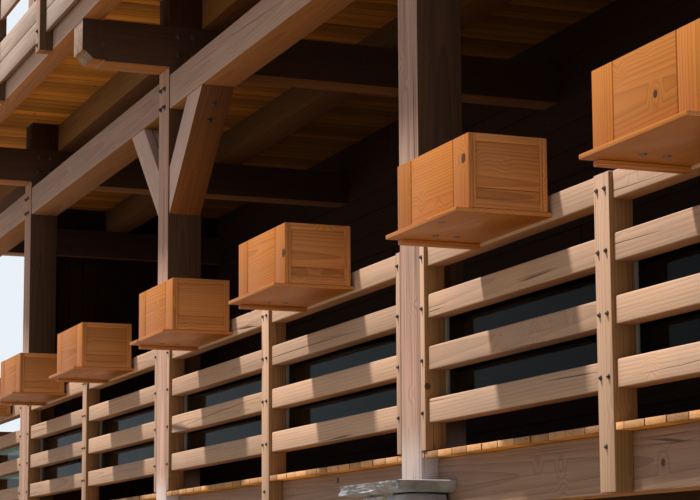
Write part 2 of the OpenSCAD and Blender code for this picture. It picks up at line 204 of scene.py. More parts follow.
def sawn_softwood(name, outdoor, side, under, tones=(0.8, 1.12), ring=0.016, fibre=0.5, rings=0.5, cracks=1.0,
                  knots=1.0, silver=0.0, rough=0.82, varnish=0.0, foot=0.0, relief=1.0, shine=0.5, painted_inner_shade=0.0,
                  level=(0.35, 0.85)):
    """A timber finish from pairs of early and late wood, for the faces that look out or up, the side faces and
    the undersides. Level says how far down a face must look for the last pair to begin and to be full."""
    material, tree = new_material(name)
    grain = add(tree, "Attribute", attribute_name="grain").outputs["Vector"]
    tone = add(tree, "Attribute", attribute_name="tone").outputs["Fac"]
    place = add(tree, "TexCoord").outputs["Object"]

    # the stem wandered as it grew: waves two or three metres long and one or two centimetres deep
    slow = add(tree, "VectorMath", {0: grain, 1: (0.4, 3, 3)}, "MULTIPLY")
    wander = add(tree, "TexNoise", {"Vector": slow, "Scale": 1.0, "Detail": 1.0}).outputs["Color"]
    wander = add(tree, "VectorMath", {0: wander, 1: (0.5, 0.5, 0.5)}, "SUBTRACT")
    bent = add(tree, "VectorMath", {0: wander, 1: (0, 0.035, 0.035), 2: grain}, "MULTIPLY_ADD")

    # knots: one in about every half metre of stick, 12 to 34 mm across, and the fibres part around them
    cell_size = (0.5, 0.15, 0.15)
    cell = add(tree, "VectorMath", {0: grain, 1: cell_size}, "DIVIDE")
    branch = add(tree, "TexVoronoi", {"Vector": cell, "Scale": 1.0, "Randomness": 0.9})
    away = add(tree, "VectorMath", {0: cell, 1: branch.outputs["Position"]}, "SUBTRACT")
    away = add(tree, "VectorMath", {0: away, 1: cell_size}, "MULTIPLY")
    away = add(tree, "VectorMath", {0: away}, "LENGTH")
    chosen = add(tree, "SeparateColor", {"Color": branch.outputs["Color"]})
    radius = add(tree, "MapRange", {"Value": chosen, "From Min": 0.45, "To Max": 0.020 * knots})
    knot = add(tree, "Math", {0: radius, 1: away}, "SUBTRACT")
    knot = add(tree, "MapRange", {"Value": knot, "From Min": -0.002, "From Max": 0.003})
    swell = add(tree, "MapRange", {"Value": away, "From Min": 0.07, "From Max": 0.0, "To Max": 0.03 * knots},
                interpolation_type="SMOOTHSTEP")

    # growth rings: the distance from the pith, with the stem's taper, in steps of one drawn ring
    across = add(tree, "VectorMath", {0: bent, 1: (0, 1, 1)}, "MULTIPLY")
    across = add(tree, "VectorMath", {0: across}, "LENGTH")
    along = add(tree, "SeparateXYZ", {0: grain})
    year = add(tree, "Math", {0: along, 1: 0.012, 2: across}, "MULTIPLY_ADD")
    for operation, value in (("ADD", swell), ("DIVIDE", ring), ("FRACT", 0.0), ("POWER", 2.2)):
        year = add(tree, "Math", {0: year, 1: value}, operation)

    # fibres, drawn 8 mm wide so that they show: real ones are far finer
    fibres = mottle(tree, bent, (1.6, 120, 120), 0.3, 0.7, Detail=3.0, Roughness=0.6)
    broad = mottle(tree, bent, (0.7, 22, 22), 0.3, 0.7)
    late = 0.0
    for pattern, share in ((year, rings), (fibres, fibre * 0.6), (broad, fibre * 0.5)):
        late = add(tree, "Math", {0: pattern, 1: share, 2: late}, "MULTIPLY_ADD", use_clamp=True)
    woods = [add(tree, "Mix", {"Factor": late, "A": early_wood, "B": late_wood}, data_type="RGBA")
             for early_wood, late_wood in (side, outdoor, under)]

    # which way the face looks settles how far sun and rain have faded it; the side pairs are partly painted shade
    normal = add(tree, "SeparateXYZ", {0: add(tree, "NewGeometry").outputs["Normal"]}).outputs
    out = add(tree, "Math", {0: normal[1], 1: -1.0}, "MULTIPLY")
    out = add(tree, "Math", {0: out, 1: normal[2]}, "MAXIMUM")
    out = add(tree, "MapRange", {"Value": out, "From Min": 0.35, "From Max": 0.85})
    down = add(tree, "MapRange", {"Value": normal[2], "From Min": -level[0], "From Max": -level[1]})
    layers = [(out, woods[1]), (down, woods[2])]
    if silver:  # grey weathering lies in patches on what the rain reaches
        patch = mottle(tree, place, (1.7, 1.7, 1.7), 0.42, 0.68, silver, Detail=4.0)
        patch = add(tree, "Math", {0: patch, 1: out}, "MULTIPLY")
        layers.append((patch, "#a3948c"))
    if foot:  # rain splash bleaches the lowest 25 cm of a post over its capstone
        high = add(tree, "SeparateXYZ", {0: place}).outputs[2]
        bleach = add(tree, "MapRange", {"Value": high, "From Min": 2.42, "From Max": 2.2, "To Max": foot},
                     interpolation_type="SMOOTHSTEP")
        layers.append((bleach, "#e8dad4"))
    layers.append((knot, "#4a2a16"))

    # drying cracks follow the fibres: the walls of cells 110 mm wide and 10 m long, at most 3 mm open, in places
    split = add(tree, "VectorMath", {0: bent, 1: (0.1, 9, 9)}, "MULTIPLY")
    split = add(tree, "TexVoronoi", {"Vector": split, "Scale": 1.0}, feature="DISTANCE_TO_EDGE")
    width = mottle(tree, grain, (1.3, 8, 8), 0.5, 0.72, 0.014 * cracks, Detail=1.0)
    crack = add(tree, "Math", {0: width, 1: split}, "SUBTRACT")
    crack = add(tree, "MapRange", {"Value": crack, "From Max": 0.006, "To Max": 0.9})
    layers.append((crack, "#33211a"))
    colour = woods[0]
    for share, paint in layers:
        colour = add(tree, "Mix", {"Factor": share, "A": colour, "B": paint}, data_type="RGBA")

    light = add(tree, "MapRange", {"Value": tone, "To Min": tones[0], "To Max": tones[1]})
    if painted_inner_shade:  # painted shade: boards far in, towards the house, are darkened for the gallery's deep shade
        far_in = add(tree, "SeparateXYZ", {0: place}).outputs[1]
        dim = add(tree, "MapRange", {"Value": far_in, "From Min": 0.9, "From Max": 2.1, "To Min": 1.0,
                                     "To Max": 1.0 - painted_inner_shade})
        light = add(tree, "Math", {0: light, 1: dim}, "MULTIPLY")
    colour = add(tree, "VectorMath", {0: colour, "Scale": light}, "SCALE")

    height = add(tree, "Math", {0: late, 1: -0.4}, "MULTIPLY")
    height = add(tree, "Math", {0: crack, 1: -3.0, 2: height}, "MULTIPLY_ADD")
    bump = add(tree, "Bump", {"Height": height, "Strength": 0.8 * relief, "Distance": 1.2 * MM})
    wood = add(tree, "BsdfPrincipled", {"Base Color": colour, "Roughness": rough, "Normal": bump, "IOR": 1.5,
                                        "Specular IOR Level": shine, "Coat Weight": varnish,
                                        "Coat Roughness": 0.22})
    add(tree, "OutputMaterial", {"Surface": wood})
    return material



# %% [markdown]
# The frame is spruce that sun and rain have faded to a pale grey-brown in front, while its sheltered sides and
# undersides keep the brown of old timber. The finishes are copies of that spruce, each coloured for how light
# falls on its part: dark sides are painted shade, and the beams that lie back under the balcony are painted
# darker as painted shade. The house wall is dark wood painted almost black, with the deep shade of the gallery
# painted in, the deck boards are oiled larch, and the planter boxes are varnished pine, which is clear orange
# with strong knots and a shine.

# %% The timber finishes
# the side pairs below are partly painted shade, darker where a part's sides lie in shade; this near-black pair is
# wholly painted shade
painted_side_shade = ("#45260f", "#2e1808")
weathered_spruce = sawn_softwood(
    "weathered sawn spruce", outdoor=("#d4b298", "#ac8a76"), side=("#a47c52", "#785836"),
    under=("#8a5626", "#5f3814"), silver=0.35)
silvered_spruce = sawn_softwood(
    "silvered spruce boards", outdoor=("#d6c2b8", "#a8948c"), side=("#5a4636", "#3c2c20"),
    under=("#8a5a34", "#5c3818"), silver=0.5, fibre=0.8)
post_spruce = sawn_softwood(
    "weathered spruce of the posts", outdoor=("#deb9aa", "#a88274"), side=("#5f422b", "#412a18"),
    under=("#a86a30", "#7a481c"), silver=0.3, foot=0.8, cracks=1.4, fibre=0.8)
# painted shade: a greyer, darker copy of the spruce for the beams in the balcony's shade, with dark sides
frame_spruce = sawn_softwood(
    "spruce under the balcony", outdoor=("#c9aa9e", "#9e7e74"), side=("#54361f", "#382010"),
    under=("#a1662a", "#764518"), silver=0.4)
# painted light: a paler copy of the spruce for the braces' fronts, with dark sides as painted shade
brace_spruce = sawn_softwood(
    "spruce of the braces", outdoor=("#f0d4cc", "#c8a49c"), side=("#5e3d28", "#3e2412"),
    under=("#9a5c22", "#6c3c12"), silver=0.3)
# painted shade: a darker copy of the spruce for the edge beam, the low beams and the end posts, which lie in shade
shade_darkened_spruce = sawn_softwood(
    "spruce darkened by painted shade", outdoor=("#a98a76", "#7c604f"), side=painted_side_shade, under=("#a46624", "#7a4a19"), silver=0.25)
# painted shade: a darker copy of the spruce for the front floor beam in the shade under the balcony
inner_spruce = sawn_softwood(
    "spruce painted with the shade inside the gallery", outdoor=("#8b6338", "#664526"), side=painted_side_shade, under=("#6e431d", "#523012"),
    silver=0.1, shine=0.2)
# painted shade: the middle floor beam is painted dark for the deep shade far in the gallery
deep_shade_spruce = sawn_softwood(
    "spruce painted with the deep shade of the gallery", outdoor=("#5c3e22", "#402a14"), side=painted_side_shade, under=("#6a4220", "#4a2c12"), shine=0.15)
# painted shade: the upper posts' feet between the two floors are painted dark for the shade they lie in
shaded_spruce = sawn_softwood(
    "spruce painted with the shade between two floors", outdoor=("#4a3020", "#301c10"), side=painted_side_shade, under=("#6a4220", "#4a2c12"),
    shine=0.15)
# painted light: the carved slopes under the heads take the pale outdoor pair for the light they catch; the sides
# are painted shade
head_spruce = sawn_softwood(
    "spruce of the beam heads", outdoor=("#b8a496", "#705648"), side=painted_side_shade, under=("#a46624", "#7a4a19"),
    silver=0.3, fibre=0.9, level=(0.75, 0.98))
# dark wood, painted near black also as painted shade of the deep gallery
dark_logs = sawn_softwood(
    "dark spruce logs with painted shade", outdoor=("#301c12", "#1c0f08"), side=("#301c12", "#1c0f08"),
    under=("#2c1a10", "#1c100a"), tones=(0.75, 1.2), cracks=1.2, shine=0.1)
# the larch boards are darkened towards the house as painted shade
oiled_larch = sawn_softwood(
    "oiled larch boards", outdoor=("#e8bd92", "#c28c5c"), side=("#b87a3c", "#8c5420"),
    under=("#ffb64c", "#bc722e"), tones=(0.52, 1.3), cracks=0.5, ring=0.012, fibre=0.8, rings=0.6, painted_inner_shade=0.6,
    shine=0.2)
# painted light: the side pair for the box ends is lighter than the fronts, for the light the ends get
varnished_pine = sawn_softwood(
    "varnished knotty pine", outdoor=("#c67e2c", "#9a5818"), side=("#de9a5c", "#b06e38"),
    under=("#a25e12", "#7a4008"), tones=(0.85, 1.12), ring=0.014, fibre=0.35, rings=0.6, cracks=0.0, knots=1.3,
    rough=0.5, varnish=0.25, relief=0.4, shine=0.25)
print("thirteen timber finishes")

# %% [markdown]
# ## One timber
# A real timber is sawn square and its arrises are eased with a plane. It starts as a cube at its size and
# place, a Bevel modifier eases its edges, and then its grain is laid along it. The pith lies near the middle of
# a heavy timber and outside a board, so the rings show as flames on a board and as circles on a beam's end.

# %% Timber helpers
def pick(*pieces):
    """Selects these pieces alone and makes the first one active."""
    bpy.ops.object.select_all(action="DESELECT")
    for piece in pieces:
        piece.select_set(True)
    bpy.context.view_layer.objects.active = pieces[0]


def edit(piece, operator, **settings):
    """Runs one edit mode operator on the whole of a piece."""
    pick(piece)
    bpy.ops.object.mode_set(mode="EDIT")
    bpy.ops.mesh.select_all(action="SELECT")
    operator(**settings)
    bpy.ops.object.mode_set(mode="OBJECT")


def finish_with(piece, kind, **settings):
    """Adds a modifier to the piece and applies it."""
    pick(piece)
    bpy.ops.object.modifier_add(type=kind)
    modifier = piece.modifiers[-1]
    for name, value in settings.items():
        setattr(modifier, name, value)
    bpy.ops.object.modifier_apply(modifier=modifier.name)
    return piece


def ease_edges(piece, width, steps, over):
    """Rounds the edges that turn by more than so many degrees."""
    return finish_with(piece, "BEVEL", width=width, segments=steps, limit_method="ANGLE",
                       angle_limit=math.radians(over))


def box(low, high):
    """A cube between two corners, with its place in its mesh."""
    low, high = Vector(low), Vector(high)
    bpy.ops.mesh.primitive_cube_add(size=1, location=(low + high) / 2, scale=high - low)
    bpy.ops.object.transform_apply()
    return bpy.context.object


def cut_out(piece, cutters):
    """Cuts the cutters out of the piece and removes them."""
    for cutter in cutters:
        finish_with(piece, "BOOLEAN", operation="DIFFERENCE", solver="EXACT", object=cutter)
        bpy.data.objects.remove(cutter)
    return piece


def give_tone(piece):
    """One random tone for a whole timber or stone."""
    tone = np.full(len(piece.data.vertices), chance.random(), np.float32)
    piece.data.attributes.new("tone", "FLOAT", "POINT").data.foreach_set("value", tone)
    return piece


def lay_grain(piece, along, pith=0.05):
    """Stores each point's place in the timber's own coordinates, and one tone for the whole timber."""
    mesh = piece.data
    points = np.empty(len(mesh.vertices) * 3, np.float32)
    mesh.vertices.foreach_get("co", points)
    points = points.reshape(-1, 3)
    order = {"x": [0, 1, 2], "y": [1, 0, 2], "z": [2, 0, 1]}[along]
    own = (points - (points.min(0) + points.max(0)) / 2)[:, order]
    angle = chance.uniform(0, 2 * math.pi)
    own += np.array([chance.uniform(2, 60), pith * math.cos(angle), pith * math.sin(angle)], np.float32)
    mesh.attributes.new("grain", "FLOAT_VECTOR", "POINT").data.foreach_set("vector", own.ravel())
    return give_tone(piece)


def timber(low, high, along, ease=6 * MM, pith=0.05, steps=2, cutters=(), cracks=()):
    """One sawn timber between two corners, with eased arrises and its grain along one axis. A crack is given by
    its two ends on the front face and its width."""
    piece = ease_edges(cut_out(box(low, high), cutters), ease, steps, 40)
    return lay_grain(cut_out(piece, [crack_wedge(low[1], *crack) for crack in cracks]), along, pith)


def crack_wedge(face_y, start, end, width):
    """A thin wedge with a wandering line, to cut a drying crack into a front face at face_y."""
    start, end = Vector(start), Vector(end)
    proud_y, tip_y = face_y - 4 * MM, face_y + 14 * MM
    steps = max(6, int((end - start).length / 0.09))
    side = Vector((-(end - start).y, (end - start).x)).normalized()
    points, drift = [], 0.0
    for i in range(steps + 1):
        swell = math.sin(math.pi * i / steps)
        drift += chance.uniform(-1, 1) * 4 * MM
        middle = start.lerp(end, i / steps) + side * drift * swell
        half = side * width / 2 * max(0.12, swell) ** 0.6
        points += [(point.x, y, point.y)
                   for point, y in ((middle - half, proud_y), (middle + half, proud_y), (middle, tip_y))]
    faces = [(0, 2, 1), (3 * steps, 3 * steps + 1, 3 * steps + 2)]
    for i in range(0, 3 * steps, 3):
        faces += [(i + a, i + b, i + b + 3, i + a + 3) for a, b in ((0, 1), (1, 2), (2, 0))]
    mesh = bpy.data.meshes.new("crack")
    mesh.from_pydata(points, [], faces)
    wedge = bpy.data.objects.new("crack", mesh)
    bpy.context.collection.objects.link(wedge)
    edit(wedge, bpy.ops.mesh.normals_make_consistent, inside=False)
    return wedge


def upright_cracks(x, low_z, high_z, count):
    """Random upright cracks on the front of a post whose middle is at x."""
    cracks = []
    for _ in range(count):
        at, foot = x + chance.uniform(-0.075, 0.075), chance.uniform(low_z, high_z - 0.5)
        length = min(chance.uniform(0.45, 1.3), high_z - foot - 0.05)
        cracks.append(((at, foot), (at + chance.uniform(-0.008, 0.008), foot + length),
                       chance.uniform(1.5, 3) * MM))
    return cracks


def level_cracks(low_x, high_x, z, count, spread):
    """Random cracks along the front of a beam or a rail whose middle is at z."""
    cracks = []
    for _ in range(count):
        start = chance.uniform(low_x + 0.05, high_x - 0.7)
        length = min(chance.uniform(0.4, 1.1), high_x - start - 0.05)
        low = z + chance.uniform(-spread, spread)
        cracks.append(((start, low), (start + length, low + chance.uniform(-0.02, 0.02)),
                       chance.uniform(1.5, 3) * MM))
    return cracks


def copy_at(piece, shift=(0, 0, 0), turn=Matrix()):
    """A copy with its own mesh, turned about the origin and then shifted."""
    twin = piece.copy()
    twin.data = piece.data.copy()
    bpy.context.collection.objects.link(twin)
    twin.data.transform(Matrix.Translation(shift) @ turn)
    return twin


def join(parts):
    """Joins the parts to one piece."""
    pick(*parts)
    if len(parts) > 1:
        bpy.ops.object.join()
    return parts[0]


def gather(name, parts, finish, slot="", *nodes, smooth=38):
    """Joins the parts to one named piece, gives it its finish and sets it in place of its nodes."""
    count, piece = len(parts), join(parts)
    piece.name = piece.data.name = name
    bpy.ops.object.shade_smooth_by_angle(angle=math.radians(smooth))
    piece.data.materials.clear()
    piece.data.materials.append(finish)
    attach(piece, "root")
    if nodes:
        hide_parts(*nodes)
    piece.select_set(False)
    print(name, "has", count, "parts and", len(piece.data.polygons), "faces")



# %% [markdown]
# ## Posts
# The main posts are the largest sticks of the frame, boxed heart, so the pith lies inside them and every face
# has its own crack. The upper posts are faded like the main ones, but their feet between the two floors are
# painted dark as painted shade, so they are a piece of their own. Narrow strips stand beside the main posts at
# railing height, and each rail post laps over the edge beam with a foot that is thinner than the post.

# %% Main posts, strips and rail posts
def post_row(low_z, high_z, cracked=()):
    """A timber on each post line, with random cracks, given as (low z, high z, how many)."""
    return [timber((x - half_post, 0, low_z), (x + half_post, post, high_z), "z", 8 * MM, 0.03,
                   cracks=[crack for span in cracked for crack in upright_cracks(x, *span)]) for x in post_lines]


foot_top = upper - 0.01
gather("main_post_timbers", post_row(cap_top, cross_low, [(2.30, 3.3, 3), (3.4, 4.8, 2)]), post_spruce,
       "weathered_timber", "main_posts")
gather("upper_post_timbers", post_row(foot_top, tie_low, [(cross_high + 0.3, tie_low, 3)]), post_spruce,
       "weathered_timber", "upper_posts")
gather("upper_post_feet", post_row(cross_high, foot_top), shaded_spruce, "weathered_timber")

strip_sides = [x - main_half for x in post_lines[1:]] + [x + half_post for x in post_lines[:-1]]
gather("post_strip_timbers",
       [timber((x, 0, deck + 0.005), (x + strip, rail_post, rail_tops[0]), "z", 5 * MM, 0.07)
        for x in strip_sides], weathered_spruce, "weathered_timber", "post_strips")
gather("rail_post_timbers",
       [timber((x - rail_half, 0, deck_beam_low), (x + rail_half, rail_post, rail_tops[0]), "z", 7 * MM, 0.06,
               cutters=[box((x - 0.1, edge_face, 1.9), (x + 0.1, 0.2, deck))]) for x in rail_post_lines],
       weathered_spruce, "weathered_timber", "rail_posts")

# %% [markdown]
# ## Rails
# Four rows of heavy rails, 115 by 85 mm, run from post to post. Each row is its own piece, with a short rail at
# each end of the gallery.

# %% Rails
known = {("third", 4): [((0.30, 2.660), (1.97, 2.726), 4 * MM)]}  # the long split beside the braced post
for row, top in zip(("top", "second", "third", "bottom"), rail_tops):
    rails = []
    for i, (a, b) in enumerate(panels):
        cracks = level_cracks(a, b, top - 0.055, chance.choice((0, 0, 1)), 0.03)
        rails.append(timber((a, rail_front, top - rail_height), (b, rail_back, top), "x", 7 * MM, 0.07, 3,
                            cracks=known.get((row, i), cracks)))
    rails += [timber((x - half_rail, post, top - rail_height), (x + half_rail, end_post_front, top), "y", 7 * MM,
                     0.07, 3) for x in end_lines]
    gather(row + "_rail_timbers", rails, weathered_spruce, "weathered_timber", row + "_rails")

# %% [markdown]
# ## Beams along the gallery
# Beams lie between the post heads, a rim beam lies on the ends of the cross-beams, barely let in, and floor
# beams lie on them further back. The rim and floor beams are 16 m long, so the real ones are scarfed from shorter
# timbers: each is made of lengths that meet over a cross-beam.

# %% Beams
def beam_row(low_y, high_y, low_z, high_z, count=2, known=()):
    """One beam in each bay, with random cracks in its front and the known ones in the bay that has them."""
    beams = []
    for i, (a, b) in enumerate(bays):
        a, b = a + half_post, b - half_post
        cracks = level_cracks(a, b, (low_z + high_z) / 2, count, 0.07)
        cracks = [crack for bay, *crack in known if bay == i] or cracks
        beams.append(timber((a, low_y, low_z), (b, high_y, high_z), "x", 8 * MM, 0.04, cracks=cracks))
    return beams


def long_beam(low_y, high_y, low_z):
    """A beam under the upper deck over the whole gallery, in lengths that meet over the cross-beams."""
    stops = [-end_x, post_lines[1], post_lines[3], end_x]
    return [timber((a, low_y, low_z), (b, high_y, floor_top), "x", 8 * MM, 0.05)
            for a, b in zip(stops, stops[1:])]


gather("edge_beam_timbers", beam_row(edge_face, 0.230, deck_beam_low, deck_beam_high), shade_darkened_spruce,
       "weathered_timber", "edge_beams")
gather("deck_middle_timbers", beam_row(middle_face, middle_back, deck_beam_low, deck_beam_high, 0),
       shade_darkened_spruce, "frame_timber", "deck_middle_beams")
known = [(2, (1.20, 5.046), (2.40, 4.998), 5 * MM), (2, (0.45, 4.93), (1.05, 4.945), 2 * MM),
         (1, (-0.75, 5.015), (-0.16, 5.060), 3 * MM), (1, (-2.9, 4.95), (-1.9, 4.97), 1.5 * MM)]
gather("main_beam_timbers", beam_row(beam_face, post, beam_low, beam_high, 2, known), frame_spruce,
       "weathered_timber", "main_beams")
gather("upper_beam_timbers", beam_row(beam_face, post, upper_beam_low, upper_beam_high), frame_spruce,
       "weathered_timber", "upper_beams")
gather("rim_beam_timbers", long_beam(front, rim_back, rim_low), frame_spruce, "weathered_timber", "rim_beam")
gather("front_floor_timbers", long_beam(post, floor_back, cross_high), inner_spruce, "frame_timber",
       "front_floor_beam")
gather("middle_floor_timbers", long_beam(middle_face, middle_back, cross_high), deep_shade_spruce, "frame_timber",
       "middle_floor_beam")
gather("deck_cross_timbers",
       [timber((x - cross_half, post, deck_beam_low), (x + cross_half, wall_back, deck_beam_high), "y", 8 * MM,
               0.04) for x in post_lines], shade_darkened_spruce, "frame_timber", "deck_cross_beams")

# %% [markdown]
# ## Carved beam heads
# The cross-beams end in a carved head: a small step, a flat and a wave that rises to the end face. A carpenter
# saws it from the side. Here the beam's front face is extruded in short steps, and the lower edge of each new
# face is lifted by the wave, which is half a cosine. The notch for the rim beam is then cut from above.

# %% Cross-beams with carved heads
def head_beam(bottom, lap):
    """One cross-beam with a carved head, centred on X = 0, with a notch of the given depth for the rim beam."""
    step, step_y, wave, steps, rise, top = 0.008, front + 0.156, 0.095, 12, 0.058, bottom + 0.290
    piece = box((-cross_half, step_y, bottom), (cross_half, wall_back, top))
    moves = [(0.0005, step), (step_y - (front + wave), 0)]
    moves += [(wave / steps, rise * (math.cos(math.pi * i / steps) - math.cos(math.pi * (i + 1) / steps)) / 2)
              for i in range(steps)]
    bpy.ops.object.mode_set(mode="EDIT")
    bpy.ops.mesh.select_mode(type="FACE")
    bpy.ops.mesh.select_all(action="DESELECT")
    bpy.ops.object.mode_set(mode="OBJECT")
    for face in piece.data.polygons:
        face.select = face.normal.y < -0.9
    for out, lift in moves:
        bpy.ops.object.mode_set(mode="EDIT")
        bpy.ops.mesh.extrude_region_move(TRANSFORM_OT_translate={"value": (0, -out, 0)})
        bpy.ops.object.mode_set(mode="OBJECT")
        end_y = min(v.co.y for v in piece.data.vertices)
        ring = [v for v in piece.data.vertices if v.co.y < end_y + 1e-5]
        low_z = min(v.co.z for v in ring)
        for v in ring:
            if v.co.z < low_z + 1e-5:
                v.co.z += lift
    if lap:
        cut_out(piece, [box((-0.2, front - 0.1, top - lap), (0.2, rim_back, top + 0.1))])
    return ease_edges(piece, 6 * MM, 2, 50)


for name, low_z, lap in (("cross_beam", cross_low, 0.005), ("tie_beam", tie_low, 0)):
    pattern = head_beam(low_z, lap)
    heads = [lay_grain(copy_at(pattern, (x, 0, 0)), "y", 0.04) for x in post_lines]
    bpy.data.objects.remove(pattern)
    gather(name + "_timbers", heads, head_spruce, "frame_timber", name + "s")

# %% [markdown]
# ## Knee braces
# Only the central post has knee braces. Each is a straight timber laid at 45 degrees and sawn off upright at
# the post and level under the beam, so a slanted box is bisected by both faces.

# %% Knee braces
def brace_pair(beam_bottom):
    """A brace on each side of the central post, under a beam."""
    middle = (brace_reach - brace_width / math.sqrt(2)) / 2
    bpy.ops.mesh.primitive_cube_add(size=1, location=(half_post + middle, half_post, beam_bottom - middle),
                                    rotation=(0, math.radians(-45), 0), scale=(1.5, post - 0.016, brace_width))
    bpy.ops.object.transform_apply()
    right = bpy.context.object
    for corner, normal in (((half_post, 0, 0), (-1, 0, 0)), ((0, 0, beam_bottom), (0, 0, 1))):
        edit(right, bpy.ops.mesh.bisect, plane_co=corner, plane_no=normal, use_fill=True, clear_outer=True)
    ease_edges(right, 7 * MM, 2, 30)
    turn = Matrix.Rotation(math.radians(45), 4, "Y")
    right.data.transform(turn)
    lay_grain(right, "x", 0.04)
    right.data.transform(turn.inverted())
    return [right, copy_at(right, (0, post, 0), Matrix.Rotation(math.pi, 4, "Z"))]


gather("knee_brace_timbers", brace_pair(beam_low), brace_spruce, "weathered_timber", "knee_braces")
gather("upper_brace_timbers", brace_pair(upper_beam_low), brace_spruce, "weathered_timber", "upper_braces")

# %% [markdown]
# ## Decks
# Both decks are larch boards with open joints, laid across the gallery: 154 mm wide below and 144 mm wide
# above. Their front ends are never quite in line. Where a board meets a post it is notched round it.

# %% Deck boards
def deck_boards(name, node, count, joint, low_y, top, notches):
    """A deck of boards between the gallery's ends, with notches given as (low x, high x, high y)."""
    pitch = 2 * end_x / count
    boards = []
    for i in range(count):
        a = -end_x + i * pitch + joint / 2
        b = a + pitch - joint
        cutters = [box((low_x - 3 * MM, -0.01, top - 0.1), (high_x + 3 * MM, high_y + 3 * MM, top + 0.1))
                   for low_x, high_x, high_y in notches if low_x < b and high_x > a]
        boards.append(timber((a, low_y + chance.uniform(0, 5) * MM, top - 0.030 + chance.uniform(0, 0.5) * MM),
                             (b, depth, top - chance.uniform(0, 1.2) * MM), "y", 2.5 * MM,
                             chance.uniform(0.06, 0.16), cutters=cutters))
    gather(name, boards, oiled_larch, "deck_boards", node)


post_notches = [(x - half_post, x + half_post, post) for x in post_lines]
rail_post_notches = [(x - rail_half, x + rail_half, edge_face) for x in rail_post_lines]
deck_boards("lower_deck_boards", "lower_deck", 103, 6 * MM, 0.003, deck, post_notches + rail_post_notches)
deck_boards("upper_deck_boards", "upper_deck", 109, 7 * MM, front, upper, post_notches)

# %% [markdown]
# ## Upper railing
# Posts stand outside the rim beam and carry rows of boards: two edge to edge over the rim beam, two higher up,
# and one at the top.

# %% Upper railing
guard_half, guard_depth, guard_foot = 0.060, 0.100, cross_high - 0.255
corner_line, guard_pitch = end_x - guard_half, 1.62
front_posts = [-corner_line] + [(i - 4.5) * guard_pitch for i in range(10)] + [corner_line]
first_y, last_y = -0.55, 2.94
end_posts = [first_y + i * (last_y - first_y) / 3 for i in range(4)]
board_height, board_step, row_gap = 0.163, 0.167, 0.185
fascia_low = upper - 0.151
middle_low = fascia_low + board_step + board_height + row_gap
top_low = middle_low + board_step + board_height + row_gap
guard_top = top_low + board_height


def at_both_ends(near, far, spans, low_z, high_z, along, ease, pith):
    """Timbers outside both ends of the gallery, between two distances from the end and over spans of Y."""
    row = []
    for s in (-1, 1):
        low_x, high_x = sorted((s * (end_x + near), s * (end_x + far)))
        row += [timber((low_x, a, low_z), (high_x, b, high_z), along, ease, pith) for a, b in spans]
    return row


def board_row(low_z):
    """One row of boards round the balcony between the rail posts, each on a packing strip that stays behind."""
    row = []
    for near, far, low, high in ((0.026, 0.055, 0, board_height), (0, 0.026, 0.035, 0.125)):
        low, high = low_z + low, low_z + high
        row += [timber((a + guard_half, front - far, low), (b - guard_half, front - near, high), "x", 4 * MM, 0.09)
                for a, b in zip(front_posts, front_posts[1:])]
        spans = [(a + guard_half, b - guard_half) for a, b in zip(end_posts, end_posts[1:])]
        row += at_both_ends(near, far, spans, low, high, "y", 4 * MM, 0.09)
    return row


guards = [timber((x - guard_half, front - guard_depth, rim_low - 0.010), (x + guard_half, front, guard_top), "z",
                 6 * MM, 0.05) for x in front_posts]
guards += at_both_ends(0, guard_depth, [(y - guard_half, y + guard_half) for y in end_posts], guard_foot,
                       guard_top, "z", 6 * MM, 0.05)
gather("upper_rail_post_timbers", guards, post_spruce, "weathered_timber", "upper_rail_posts")
for name, node, heights in (("fascia", "fascia_boards", (fascia_low, fascia_low + board_step)),
                            ("middle", "upper_middle_boards", (middle_low, middle_low + board_step)),
                            ("top", "upper_top_boards", (top_low,))):
    gather(name + "_board_timbers", [board for low_z in heights for board in board_row(low_z)],
           silvered_spruce, "weathered_timber", node)

# %% [markdown]
# ## House wall and end walls
# The house is built of squared logs laid flat on each other, with a V joint where two meet. Each course is two
# or three lengths, and it stops on both sides of the beams that pass through the wall. The gallery's end walls
# are upright planks between a corner post and the house, with one board over the cross-beam.

# %% Log walls
def log_wall(courses):
    """Courses as (low z, high z, whether beams pass through), each of two or three lengths of log."""
    logs = []
    for i, (low_z, high_z, crossed) in enumerate(courses):
        openings = [(x - cross_half, x + cross_half) for x in post_lines] if crossed else []
        joints = [] if crossed else [(-3.1, 2.7), (0.6,), (-5.3, 4.9)][i % 3]
        stops = [-end_x, end_x] + [x + chance.uniform(-0.4, 0.4) for x in joints]
        stops = sorted(stops + [x for opening in openings for x in opening])
        logs += [timber((a, depth, low_z), (b, wall_back, high_z), "x", 9 * MM, 0.03, 1)
                 for a, b in zip(stops, stops[1:]) if not any(low < (a + b) / 2 < high for low, high in openings)]
    return logs


def even_courses(low_z, high_z, count):
    """Equal courses between two heights, clear of the beams."""
    step = (high_z - low_z) / count
    return [(low_z + i * step, low_z + (i + 1) * step, False) for i in range(count)]


gather("lower_wall_logs", log_wall(
    [(deck_beam_low, deck_beam_high, True)] + even_courses(deck_beam_high, cross_low, 15)
    + [(cross_low, 5.310, True), (5.310, cross_high, True), (cross_high, floor_top, False)]),
    dark_logs, "wall_timber", "lower_house_wall")
gather("upper_wall_logs", log_wall(
    even_courses(floor_top, tie_low, 15) + [(tie_low, 8.785, True), (8.785, tie_high, True)]),
    dark_logs, "wall_timber", "upper_house_wall")

